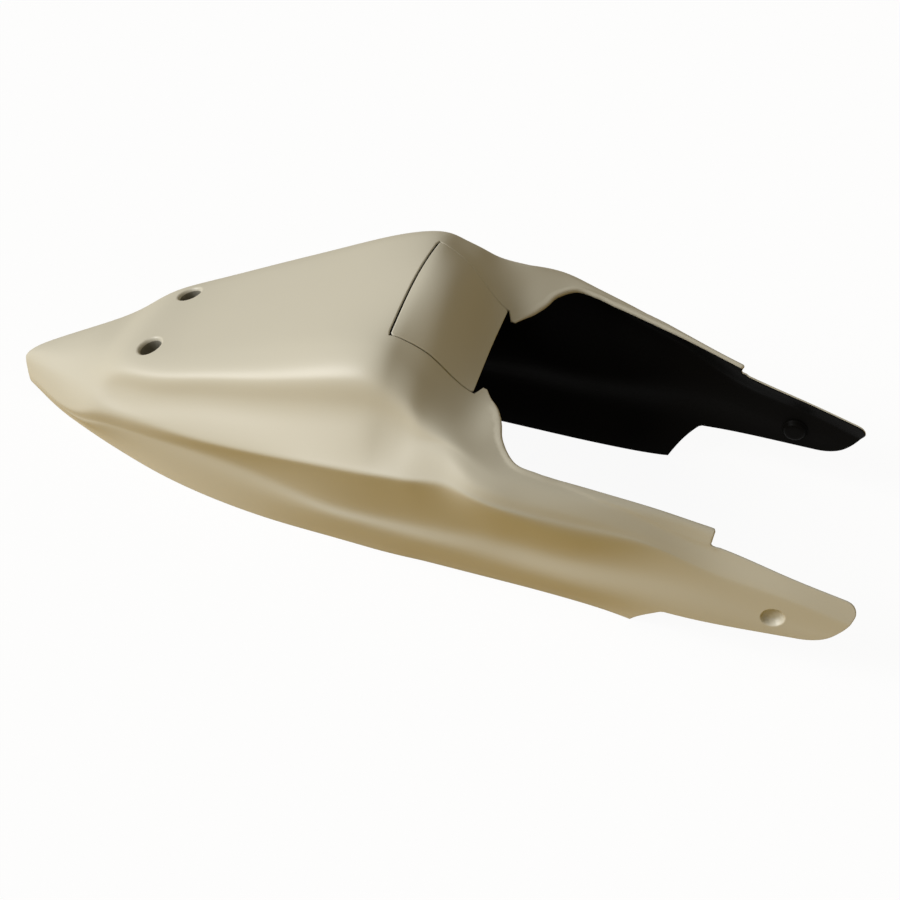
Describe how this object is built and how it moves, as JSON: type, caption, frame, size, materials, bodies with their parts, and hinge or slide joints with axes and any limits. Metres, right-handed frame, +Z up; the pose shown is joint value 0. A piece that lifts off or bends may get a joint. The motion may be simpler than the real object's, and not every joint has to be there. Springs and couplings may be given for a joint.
{
  "type": "motorcycle tail fairing",
  "caption": "Thin moulded race-style seat tail: a raised hump with sunk wells and a set-in front panel, creased flanks, and long side arms round an open seat bay.",
  "frame": {"origin": "on the floor plane that the lower hem rests on, midway between the rear tip and the arm tips, on the mirror plane", "axes": "+X forward along the tail from its rear tip to the arm tips, +Y to the rider's left, +Z up"},
  "size_m": [0.82, 0.3182, 0.2349],
  "materials": {
    "gelcoat": "satin champagne-ivory gelcoat on the outside, black on the inside"
  },
  "bodies": {
    "root": {"tail_shell": "gelcoat", "hump_panel": "gelcoat"}
  },
  "joints": []
}
